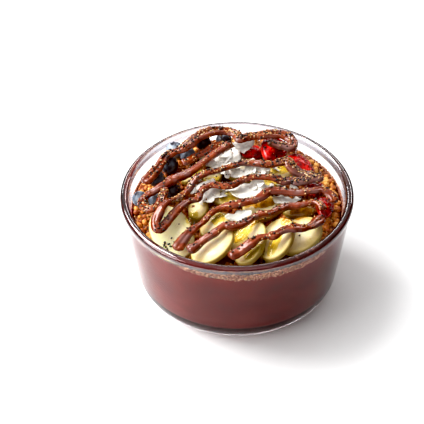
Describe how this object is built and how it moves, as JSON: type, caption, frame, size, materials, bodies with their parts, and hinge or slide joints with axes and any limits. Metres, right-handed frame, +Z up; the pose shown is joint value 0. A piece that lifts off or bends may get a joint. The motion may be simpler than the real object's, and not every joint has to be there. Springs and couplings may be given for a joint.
{
  "type": "acai bowl",
  "caption": "Round glass bowl of thick acai puree, topped with granola, banana slices, berries, coconut flakes and a chocolate drizzle with seeds.",
  "frame": {"origin": "centre of the bowl's flat underside", "axes": "+Z up through the bowl; -Y is the side with the large leaning banana slices; +X is the side with the granola band and the strawberries"},
  "size_m": [0.1518, 0.1518, 0.0888],
  "materials": {
    "glass": "clear, polished",
    "puree": "thick dull red-purple puree, damp where it meets the glass",
    "granola": "rough toasted golden-brown clusters",
    "banana": "moist cream flesh, yellow where honey lies on it",
    "strawberry": "wet cut flesh",
    "blueberry": "waxy bloom over dark blue skin",
    "coconut": "matt white",
    "chocolate": "glossy, with seeds"
  },
  "bodies": {
    "root": {"glass_bowl": "glass", "acai_base": "puree", "granola": "granola", "banana_slice_1": "banana", "banana_slice_2": "banana", "banana_slice_3": "banana", "banana_slice_4": "banana", "banana_slice_5": "banana", "banana_slice_6": "banana", "banana_slice_7": "banana", "banana_slice_8": "banana", "banana_slice_9": "banana", "banana_slice_10": "banana", "banana_slice_11": "banana", "banana_slice_12": "banana", "banana_slice_13": "banana", "banana_slice_14": "banana", "banana_slice_15": "banana", "banana_slice_16": "banana", "blueberry_1": "blueberry", "blueberry_2": "blueberry", "blueberry_3": "blueberry", "blueberry_4": "blueberry", "blueberry_5": "blueberry", "blueberry_6": "blueberry", "blueberry_7": "blueberry", "blueberry_8": "blueberry", "blueberry_9": "blueberry", "strawberry_1": "strawberry", "strawberry_2": "strawberry", "strawberry_3": "strawberry", "strawberry_4": "strawberry", "strawberry_5": "strawberry", "strawberry_6": "strawberry", "coconut_flake_1": "coconut", "coconut_flake_2": "coconut", "coconut_flake_3": "coconut", "coconut_flake_4": "coconut", "coconut_flake_5": "coconut", "coconut_flake_6": "coconut", "coconut_flake_7": "coconut", "coconut_flake_8": "coconut", "coconut_flake_9": "coconut", "drizzle_1": "chocolate", "drizzle_2": "chocolate", "drizzle_3": "chocolate", "drizzle_4": "chocolate", "drizzle_5": "chocolate", "drizzle_6": "chocolate", "drizzle_7": "chocolate"}
  },
  "joints": []
}
